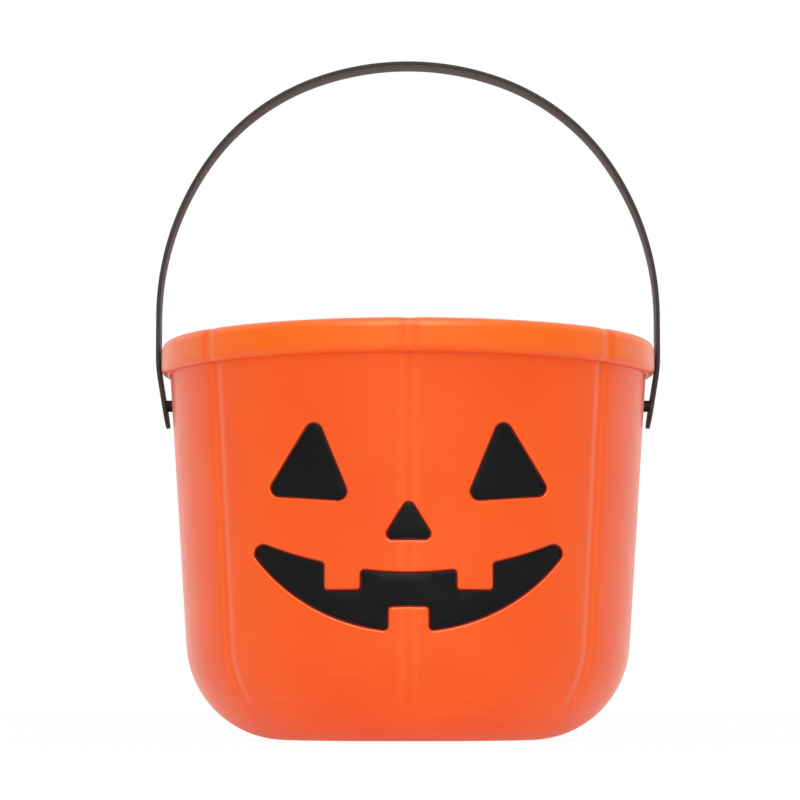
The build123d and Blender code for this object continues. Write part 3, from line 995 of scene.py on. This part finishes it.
# Matt white table top, which looks white where no shadow falls and is dull in reflections near the pail.
glow_for_light, glow_for_camera = 0.58, 0.93
matt_white, tree, place = new_finish("matt_white_table")
rays = add_node(tree, "ShaderNodeLightPath")
seen = {0: rays["Is Camera Ray"], 1: rays["Is Transmission Ray"]}
seen = add_node(tree, "ShaderNodeMath", seen, operation="MAXIMUM")[0]
glow = add_node(tree, "ShaderNodeMix", {"Factor": seen, "A": glow_for_light, "B": glow_for_camera})[0]
away = add_node(tree, "ShaderNodeVectorMath", {0: place}, operation="LENGTH")["Value"]
mirrored = {"Value": away, 1: 0.12, 2: 0.5, 3: 0.1, 4: 0.75}
mirrored = add_node(tree, "ShaderNodeMapRange", mirrored, interpolation_type="SMOOTHSTEP")["Result"]
glow = {"Factor": rays["Is Glossy Ray"], "A": glow, "B": mirrored}
glow = add_node(tree, "ShaderNodeMix", glow)[0]
matt = add_node(tree, "ShaderNodeBsdfDiffuse", {"Color": linear("#F4F4F4")})[0]
lift = add_node(tree, "ShaderNodeEmission", {"Color": linear("#FFFFFF"), "Strength": 1.0})[0]
both = add_node(tree, "ShaderNodeMixShader", {0: glow, 1: matt, 2: lift})[0]
add_node(tree, "ShaderNodeOutputMaterial", {"Surface": both})
table_mesh.materials.append(matt_white)

# White surround: it lights the pail from in front, and gloss mirrors what is behind and above.
bank_way, bank_strength = (0.0, -0.73, 0.68), 8.0
world = bpy.data.worlds.new("white_surround")
bpy.context.scene.world = world
world.use_nodes = True
tree = world.node_tree
tree.nodes.clear()
rays = add_node(tree, "ShaderNodeLightPath")
seen = {0: rays["Is Camera Ray"], 1: rays["Is Transmission Ray"]}
seen = add_node(tree, "ShaderNodeMath", seen, operation="MAXIMUM")[0]
toward = add_node(tree, "ShaderNodeTexCoord")["Generated"]
way = add_node(tree, "ShaderNodeSeparateXYZ", {0: toward})
ahead = add_node(tree, "ShaderNodeMath", {0: way["Y"], 1: -1.0}, operation="MULTIPLY")[0]
aside = add_node(tree, "ShaderNodeMath", {0: way["X"]}, operation="ABSOLUTE")[0]
facing = {0: toward, 1: bank_way}
facing = add_node(tree, "ShaderNodeVectorMath", facing, operation="DOT_PRODUCT")["Value"]
levels = {}
for label, value, start, end, low, high in (
    ("front", ahead, -0.3, 0.6, 0.95, 1.55),
    ("flags", aside, 0.35, 0.85, 1.0, 0.2),
    ("behind", way["Y"], -0.7, 0.25, 0.2, 1.0),
    ("above", way["Z"], 0.2, 0.7, 0.2, 1.1),
    ("bank", facing, 0.86, 0.95, 0.0, bank_strength),
):
    led = {"Value": value, 1: start, 2: end, 3: low, 4: high}
    led = add_node(tree, "ShaderNodeMapRange", led, interpolation_type="SMOOTHSTEP")["Result"]
    levels[label] = led
lit = {0: levels["front"], 1: levels["flags"]}
lit = add_node(tree, "ShaderNodeMath", lit, operation="MULTIPLY")[0]
mirrored = {0: levels["behind"], 1: levels["above"]}
mirrored = add_node(tree, "ShaderNodeMath", mirrored, operation="MAXIMUM")[0]
mirrored = {0: mirrored, 1: levels["bank"]}
mirrored = add_node(tree, "ShaderNodeMath", mirrored, operation="ADD")[0]
strength = {"Factor": rays["Is Glossy Ray"], "A": lit, "B": mirrored}
strength = add_node(tree, "ShaderNodeMix", strength)[0]
strength = add_node(tree, "ShaderNodeMix", {"Factor": seen, "A": strength, "B": 1.0})[0]
surround = {"Color": linear("#FFFFFF"), "Strength": strength}
surround = add_node(tree, "ShaderNodeBackground", surround)[0]
add_node(tree, "ShaderNodeOutputWorld", {"Surface": surround})

bank_place, bank_aim = Vector((0.0, -0.35, 1.2)), Vector((0.0, 0.0, 0.1))
lamp = bpy.data.lights.new("overhead_bank", "AREA")
lamp.shape, lamp.size, lamp.size_y, lamp.energy = "RECTANGLE", 1.0, 0.7, 2.0
overhead = bpy.data.objects.new("overhead_bank", lamp)
overhead.location = bank_place
overhead.rotation_euler = (bank_aim - bank_place).to_track_quat("-Z", "Y").to_euler()
bpy.context.scene.collection.objects.link(overhead)

camera_place, camera_tilt = (-0.002907, -1.173, 0.0138), radians(5.3244)
camera_data = bpy.data.cameras.new("camera")
camera_data.sensor_width, camera_data.lens = 36.0, 145.5
camera_data.clip_start, camera_data.clip_end = 0.05, 30.0
camera = bpy.data.objects.new("camera", camera_data)
camera.location = camera_place
camera.rotation_euler = (pi / 2 + camera_tilt, 0, 0)
bpy.context.scene.collection.objects.link(camera)
bpy.context.scene.camera = camera
bpy.context.scene.view_settings.view_transform = "Standard"
